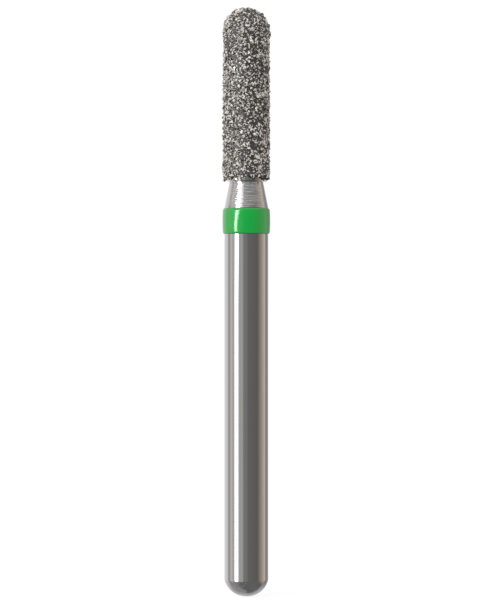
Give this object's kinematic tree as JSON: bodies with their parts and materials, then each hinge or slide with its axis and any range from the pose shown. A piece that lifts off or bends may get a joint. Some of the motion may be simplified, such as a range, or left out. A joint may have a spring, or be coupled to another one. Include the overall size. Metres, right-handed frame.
{
  "type": "dental bur",
  "caption": "Round-end cylinder diamond bur: a plain polished shank with a domed end, a short tapered neck, a green band and a gritty head.",
  "frame": {"origin": "lowest point of the domed shank end, on the bur's axis", "axes": "+Z along the axis, from the shank end to the tip of the head"},
  "size_m": [0.0018, 0.0018, 0.0214],
  "materials": {
    "turned_steel": "polished stainless steel, with fine turning marks on the neck and a matte domed end",
    "diamond_grit": "coarse diamond grains held in dark grey electroplated nickel",
    "green_lacquer": "glossy green lacquer"
  },
  "bodies": {
    "root": {"steel_blank": "turned_steel", "diamond_coating": "diamond_grit", "colour_band": "green_lacquer"}
  },
  "joints": []
}
